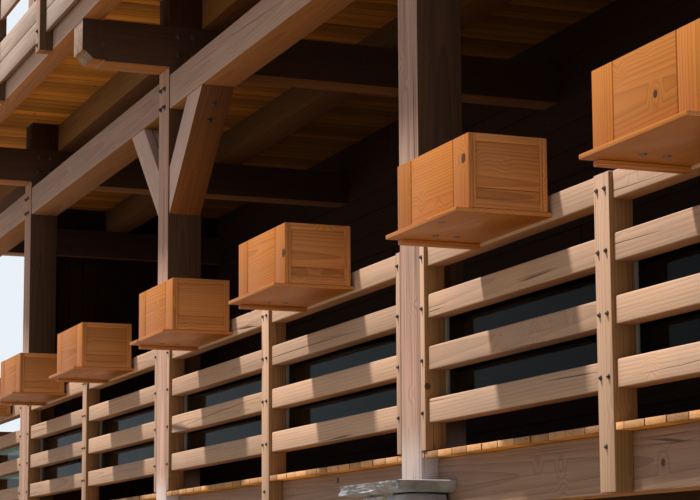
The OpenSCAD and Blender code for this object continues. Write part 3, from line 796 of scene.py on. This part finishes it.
half_plank, planks = 0.030, 12
plank = (depth - end_post_back) / planks
gather("end_post_timbers", [timber((x - 0.08, end_post_front, deck), (x + 0.08, end_post_back, cross_low), "z",
                                   6 * MM, 0.03) for x in end_lines],
       shade_darkened_spruce, "frame_timber", "end_wall_posts")
parts = [timber((x - half_plank, end_post_back + i * plank, deck),
                (x + half_plank, end_post_back + (i + 1) * plank, cross_low), "z", 7 * MM, 0.1, 1)
         for x in end_lines for i in range(planks)]
parts += [timber((x - half_plank, a, cross_high), (x + half_plank, b, floor_top), "y", 7 * MM, 0.1, 1)
          for x in end_lines for a, b in ((floor_back, middle_face), (middle_back, depth))]
gather("end_wall_planks", parts, dark_logs, "wall_timber", "end_walls")

# %% [markdown]
# ## Planter boxes
# Each box is a piece of joinery on a thin shelf that is screwed to the top rail, with one small bearer: a framed
# panel in each end, and a front of two upright corner boards and one broad board between two grooves. One box is
# made board by board for each place, so that no two have the same figure.

# %% Planter boxes, shelves and bearers
box_start, box_l, box_d, box_h, wall = 0.550, 0.750, 0.365, 0.315, 0.022
corner, stile, lip = 0.150, 0.035, 0.008
shelf_low, shelf_high = 3.150, 3.170
box_front = -0.002 - box_d


def planter(x0):
    """One planter box whose left front lower corner lies at x0 on the shelf."""
    y0, z0 = box_front, shelf_high
    x1, y1, z1 = x0 + box_l, y0 + box_d, z0 + box_h
    boards = [((a, y0, z0), (b, y0 + wall, z1), along, 3 * MM, 0.1)
              for a, b, along in ((x0, x0 + corner, "z"), (x0 + corner + lip, x1 - corner - lip, "x"),
                                  (x1 - corner, x1, "z"))]
    boards += [((x0 + 0.145, y0 + lip, z0 + 0.01), (x1 - 0.145, y0 + wall, z1 - 0.01), "x", MM, 0.1),
               ((x0, y1 - wall, z0), (x1, y1, z1), "x", 3 * MM, 0.12)]
    for a, b, low_x, high_x in ((x0, x0 + wall, x0 + lip, x0 + wall), (x1 - wall, x1, x1 - wall, x1 - lip)):
        boards += [((a, low, z0), (b, high, z1), "z", 2.5 * MM, 0.08)
                   for low, high in ((y0 + wall, y0 + stile), (y1 - stile, y1 - wall))]
        boards += [((a, y0 + 0.034, low), (b, y1 - 0.034, high), "y", 2.5 * MM, 0.08)
                   for low, high in ((z0, z0 + 0.040), (z1 - 0.034, z1))]
        boards += [((low_x, y0 + 0.032, low), (high_x, y1 - 0.032, high), "y", 2 * MM, 0.1)
                   for low, high in ((z0 + 0.036, z0 + 0.084), (z0 + 0.086, z1 - 0.030))]
    boards.append(((x0 + wall, y0 + wall, z0), (x1 - wall, y1 - wall, z0 + wall), "x", 2 * MM, 0.1))
    return [timber(*board) for board in boards]


boxes, shelves, bearers = [], [], []
for x0 in (a + box_start for a, b in panels):
    boxes += planter(x0)
    shelves.append(timber((x0, box_front - 0.060, shelf_low), (x0 + box_l, rail_front, shelf_high), "x", 4 * MM,
                          0.12))
    bearers.append(timber((x0, box_front, shelf_low - 0.022), (x0 + 0.040, rail_front, shelf_low), "y", 3 * MM,
                          0.06))
gather("planter_box_boards", boxes, varnished_pine, "varnished_pine", "planter_boxes")
gather("planter_shelf_boards", shelves, varnished_pine, "varnished_pine", "box_shelves")
gather("planter_bearer_timbers", bearers, varnished_pine, "varnished_pine", "box_bearers")

# %% [markdown]
# ## Glass screens
# Panes of grey-tinted float glass stand behind the rails and keep the wind out. They look dark against the deep
# gallery and mirror a little of what stands opposite. Flat bars of powder-coated aluminium hold their edges from
# the front, so that a narrow grey line shows beside each post.

# %% Glass and battens
float_glass, tree = new_material("grey-tinted float glass")
# painted reflection: the olive specular tint colours what the glass mirrors, like greenery opposite
pane = add(tree, "BsdfPrincipled", {"Base Color": "#5f6a5e", "Roughness": 0.03, "IOR": 1.16,
                                    "Transmission Weight": 1.0, "Specular Tint": "#8a7a52",
                                    "Specular IOR Level": 0.4})
add(tree, "OutputMaterial", {"Surface": pane})

powder_coat, tree = new_material("grey powder-coated aluminium")
place = add(tree, "TexCoord").outputs["Object"]
orange_peel = add(tree, "TexNoise", {"Vector": place, "Scale": 900.0})
dust = mottle(tree, place, (7, 7, 7), 0.4, 0.7, Detail=5.0)
skin = add(tree, "Mix", {"Factor": dust, "A": "#8f9497", "B": "#a19c92"}, data_type="RGBA")
bump = add(tree, "Bump", {"Height": orange_peel, "Strength": 0.2, "Distance": 0.2 * MM})
coat = add(tree, "BsdfPrincipled", {"Base Color": skin, "Roughness": 0.5, "Normal": bump})
add(tree, "OutputMaterial", {"Surface": coat})

batten, pane_gap = 0.060, 0.006
screen_low, screen_high = deck + 0.160, deck + 0.720
glass_front, glass_back = rail_post + 0.020, rail_post + 0.028
panes, battens = [], []
for a, b in bays:
    a, middle, b = a + half_post, (a + b) / 2, b - half_post
    for low, high in ((a, middle), (middle, b)):
        pane = box((low + pane_gap, glass_front, screen_low), (high - pane_gap, glass_back, screen_high))
        panes.append(finish_with(pane, "BEVEL", width=1 * MM, segments=1))
    for low, high in ((a, a + batten), (b - batten, b), (middle - batten, middle + batten)):
        bar = box((low, rail_post, screen_low), (high, glass_front, screen_high))
        battens.append(finish_with(bar, "BEVEL", width=3 * MM, segments=2))
gather("glass_panes", panes, float_glass, "screen_glass", "glass_screens")
gather("screen_batten_bars", battens, powder_coat, "batten_metal", "screen_battens")

# %% [markdown]
# ## Bolts
# Hex bolts with washers hold the rails, the beams and the balcony posts. One bolt is made from three stacked
# cylinders, a washer, a six-sided nut and a short end of thread, and then copied. Zinc on old bolts turns dull
# and brown.

# %% Bolts
dull_zinc, tree = new_material("dulled zinc-plated steel")
rust = mottle(tree, add(tree, "TexCoord").outputs["Object"], (90, 90, 90), 0.42, 0.6, Detail=4.0)
skin = add(tree, "Mix", {"Factor": rust, "A": "#5a5048", "B": "#35221a"}, data_type="RGBA")
metal = add(tree, "BsdfPrincipled", {"Base Color": skin, "Metallic": 0.3, "Roughness": 0.5})
add(tree, "OutputMaterial", {"Surface": metal})


def cylinder(radius, low_z, high_z, sides, ease):
    """An upright cylinder with eased rims."""
    bpy.ops.mesh.primitive_cylinder_add(vertices=sides, radius=radius, depth=high_z - low_z,
                                        location=(0, 0, (low_z + high_z) / 2))
    bpy.ops.object.transform_apply()
    return ease_edges(bpy.context.object, ease, 1, 70)


def place_bolts(name, size, places):
    """Copies of one bolt that stands on Z = 0, at (x, y, z, direction it points to)."""
    first = join([cylinder(radius * size, low * size, high * size, sides, ease) for radius, low, high, sides, ease
                  in ((0.020, 0, 0.003, 16, 0.8 * MM), (0.013, 0.003, 0.015, 6, 1.5 * MM),
                      (0.006, 0.015, 0.021, 10, 1 * MM))])
    copies = []
    for x, y, z, way in places:
        turn = Vector(way).to_track_quat("Z", "Y").to_matrix().to_4x4()
        spin = Matrix.Rotation(chance.uniform(0, math.pi), 4, "Z")
        copies.append(copy_at(first, (x, y, z), turn @ spin))
    bpy.data.objects.remove(first)
    gather(name, copies, dull_zinc)


OUT = (0, -1, 0)
bolt_heights = [top - 0.068 for top in rail_tops]
places = [(x + strip / 2, 0, z, OUT) for x in strip_sides for z in bolt_heights]
places += [(x + s * 0.032, 0, z, OUT) for x in rail_post_lines for z in bolt_heights for s in (-1, 1)]
places += [(x, 0, 2.160, OUT) for x in rail_post_lines]
place_bolts("railing_bolts", 0.58, places)

# pairs of bolts hold each beam's tongue in its post, and more hold the cross-beams and the braces
tongue_heights = [low + up for low in (beam_low, upper_beam_low) for up in (0.03, 0.16)]
places = [(x + at, 0, z, OUT) for x in post_lines for at in (-0.056, 0.030) for z in tongue_heights]
places += [(x + s * cross_half, y, low + up, (s, 0, 0)) for x in post_lines for s in (-1, 1)
           for low in (cross_low, tie_low) for y in (0.065, 0.170) for up in (0.09, 0.22)]
places += [(s * (half_post + brace_reach - down), half_post, low - down, (s, 0, -1))
           for low in (beam_low, upper_beam_low) for s in (-1, 1) for down in (0.10, 0.19)]
place_bolts("frame_bolts", 1.0, places)

places = [(x, front - guard_depth, rim_low + up, OUT) for x in front_posts for up in (0.037, 0.141)]
places += [(s * (end_x + guard_depth), y, guard_foot + up, (s, 0, 0)) for s in (-1, 1) for y in end_posts
           for up in (0.06, 0.19)]
place_bolts("balcony_bolts", 0.9, places)

# two screws with broad washers, near the bearer, hold each shelf to its box
washer = cylinder(0.016, -3 * MM, 1 * MM, 20, 0.8 * MM)
gather("shelf_washers", [copy_at(washer, (low + box_start + 0.165, box_front + y, shelf_low))
                         for low, high in panels for y in (0.110, 0.210)], dull_zinc)
bpy.data.objects.remove(washer)

# %% [markdown]
# ## Stonework
# The piers and the wall under the house are rubble: blocks of pale grey limestone of every length, laid in
# rough courses in lime mortar. A few stones are made from a cube that is bevelled, subdivided and roughened
# with a Displace modifier, and each stone of the wall is a copy of one of them, stretched to its place.

# %% Stone and mortar finishes
def rough_stone(name, colours, scale, relief, tones=(0.72, 1.18)):
    """A broken stone or mortar surface: flecks, cloudy stains and pits."""
    material, tree = new_material(name)
    place = add(tree, "TexCoord").outputs["Object"]
    tone = add(tree, "Attribute", attribute_name="tone").outputs["Fac"]
    cloud = add(tree, "TexNoise", {"Vector": place, "Scale": scale, "Detail": 6.0, "Roughness": 0.6})
    ramp = add(tree, "MapRange", {"Value": cloud, "From Min": 0.35, "From Max": 0.66})
    spots = mottle(tree, place, (scale * 0.45,) * 3, 0.56, 0.64, 0.8, Detail=8.0, Roughness=0.7)
    base = add(tree, "Mix", {"Factor": ramp, "A": colours[0], "B": colours[1]}, data_type="RGBA")
    base = add(tree, "Mix", {"Factor": spots, "A": base, "B": colours[2]}, data_type="RGBA")
    light = add(tree, "MapRange", {"Value": tone, "To Min": tones[0], "To Max": tones[1]})
    base = add(tree, "VectorMath", {0: base, "Scale": light}, "SCALE")
    grit = add(tree, "TexNoise", {"Vector": place, "Scale": 120.0, "Detail": 4.0})
    height = add(tree, "Math", {0: cloud, 1: 4.0, 2: grit}, "MULTIPLY_ADD")
    bump = add(tree, "Bump", {"Height": height, "Strength": relief, "Distance": 3 * MM})
    stone = add(tree, "BsdfPrincipled", {"Base Color": base, "Roughness": 0.88, "Normal": bump})
    add(tree, "OutputMaterial", {"Surface": stone})
    return material


limestone = rough_stone("rough split limestone", ("#969aa8", "#bec0cc", "#e4e5e8"), 14, 0.7)
mortar = rough_stone("lime mortar", ("#8f8878", "#a79f8e", "#b8b2a4"), 30, 0.5, (1, 1))

# %% Template stones
def template_stone(i):
    """A rough block that just fills a unit cube, from its own part of the clouds."""
    piece = box((-0.5, -0.5, -0.5), (0.5, 0.5, 0.5))
    finish_with(piece, "BEVEL", width=0.10, segments=2)
    edit(piece, bpy.ops.mesh.subdivide, number_cuts=1)
    piece.data.transform(Matrix.Translation((i * 3.1, i * 1.7, 0)))
    clouds = bpy.data.textures.new("stone clouds %d" % i, "CLOUDS")
    clouds.noise_scale = 0.45
    finish_with(piece, "DISPLACE", texture=clouds, texture_coords="LOCAL", strength=0.16, mid_level=0.5)
    low, high = (Vector([pick_end(v.co[k] for v in piece.data.vertices) for k in range(3)])
                 for pick_end in (min, max))
    size = high - low
    piece.data.transform(Matrix.Diagonal((1 / size.x, 1 / size.y, 1 / size.z, 1))
                         @ Matrix.Translation(-(low + high) / 2))
    return piece


stones = [template_stone(i) for i in range(6)]


def lay_stone(low, high, joint=8 * MM):
    """A copy of one of the stones between two corners, less half a joint on each side."""
    low, high = Vector(low), Vector(high)
    size = high - low
    shrink = Matrix.Diagonal((size.x - joint, size.y - joint * 0.2, size.z - joint, 1))
    flip = Matrix.Rotation(math.pi * chance.randint(0, 1), 4, chance.choice("XYZ"))
    return give_tone(copy_at(chance.choice(stones), (low + high) / 2, shrink @ flip))


def split_span(low, high, shortest, longest):
    """Stone lengths or course heights that fill a span."""
    stops = [low]
    while high - stops[-1] > longest:
        stops.append(stops[-1] + chance.uniform(shortest, min(longest, high - stops[-1] - shortest)))
    return list(zip(stops, stops[1:] + [high]))


print(len(stones), "template stones of", len(stones[0].data.polygons), "faces")

# %% Piers and base wall
pier_half, pier_mid, inset = 0.280, 0.120, 0.012
low_y, high_y = pier_mid - pier_half, pier_mid + pier_half
pier_stones, pier_cores = [], []
for x in post_lines:
    low_x, high_x = x - pier_half, x + pier_half
    for n, (low_z, high_z) in enumerate(split_span(0, deck_beam_low, 0.13, 0.23)):
        mid_y = pier_mid + chance.uniform(-0.06, 0.06)
        if n % 2:
            mid_x = x + chance.uniform(-0.07, 0.07)
            halves = [((low_x, low_y), (mid_x, high_y)), ((mid_x, low_y), (high_x, high_y))]
        else:
            halves = [((low_x, low_y), (high_x, mid_y)), ((low_x, mid_y), (high_x, high_y))]
        pier_stones += [lay_stone(a + (low_z,), b + (high_z,)) for a, b in halves]
    # thin stones in front of the edge beam and on both sides of the cross-beam fill the rest under the capstone
    for a, near_y, b, far_y in ((low_x, low_y, x + 0.03, 0.080), (x + 0.03, low_y, high_x, 0.080),
                                (low_x, 0.236, x - 0.124, high_y), (x + 0.124, 0.236, high_x, high_y)):
        pier_stones.append(lay_stone((a, near_y, deck_beam_low), (b, far_y, pier_top)))
    pier_cores += [box((low_x + inset, low_y + inset, 0), (high_x - inset, high_y - inset, deck_beam_low)),
                   box((x - 0.118, low_y + inset, deck_beam_low), (x + 0.118, 0.238, pier_top))]
gather("pier_stones", pier_stones, limestone, "rubble_stone", "stone_piers", smooth=50)
gather("pier_mortar", pier_cores, mortar, "rubble_stone")

base_back, inset = depth + 0.400, 0.014
wall_stones = [lay_stone((a, depth, low_z), (b, base_back, high_z))
               for low_z, high_z in split_span(0, deck_beam_low, 0.13, 0.24)
               for a, b in split_span(-end_x, end_x, 0.22, 0.52)]
gather("base_wall_stones", wall_stones, limestone, "rubble_stone", "base_wall", smooth=50)
gather("base_wall_mortar", [box((-end_x + inset, depth + inset, 0),
                                (end_x - inset, base_back - inset, deck_beam_low - 0.004))],
       mortar, "rubble_stone")

# %% [markdown]
# Each pier is covered by one split slab, whose sawn top is flat and whose edges are left as they broke. The
# slab is subdivided, its edges are roughened, and then it is cut out where the beams bear on the pier.

# %% Capstones
def capstone(x):
    """One capstone round the foot of a post, with edges that broke away unevenly."""
    low, high = Vector((-0.410, pier_mid - 0.360, pier_top)), Vector((0.410, pier_mid + 0.360, cap_top))
    broken, chipped, worn = 0.16, 0.06, 0.03  # widths of the zones along the rim, from the edge inwards
    piece = box(low, high)
    edit(piece, bpy.ops.mesh.subdivide, number_cuts=31)
    for v in piece.data.vertices:
        down = (high.z - v.co.z) / (high.z - low.z)
        place = Vector((v.co.x, v.co.y, v.co.z * 2.5))
        broad = 0.5 + 0.5 * noise.noise(place * 5 + Vector((x, 0, 0)))
        fine = 0.5 + 0.5 * noise.noise(place * 34 + Vector((x, 7, 0)))
        lost = 4 * MM + broad * 26 * MM + fine * 9 * MM + 14 * MM * down * broad
        rim = 1.0
        for k, more in ((0, 46 * MM), (1, 0)):
            near, far = v.co[k] - low[k], high[k] - v.co[k]
            rim = min(rim, near, far)
            v.co[k] += lost * max(0, 1 - near / broken) - (lost + more) * max(0, 1 - far / broken)
        v.co.z += down * 22 * MM * broad * max(0, 1 - rim / chipped)
        v.co.z -= (1 - down) * 4 * MM * max(0, 1 - rim / worn)
    piece.data.transform(Matrix.Translation((x, 0, 0)))
    beams = ((0.120, 0.083, 0.5, 0.232), (-0.5, 0.083, -0.120, 0.232), (-0.122, 0.238, 0.122, 0.7))
    cut_out(piece, [box((x + a, near_y, 1.9), (x + b, far_y, 2.3)) for a, near_y, b, far_y in beams])
    return give_tone(piece)


gather("capstones", [capstone(x) for x in post_lines], limestone, "rubble_stone", "pier_caps", smooth=50)
for stone in stones:
    bpy.data.objects.remove(stone)

# %% [markdown]
# ## Size and end
# The box of the dressed part is printed.

# %% Print the size and finish
low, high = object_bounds()
print("dressed part from", tuple(low), "to", tuple(high))
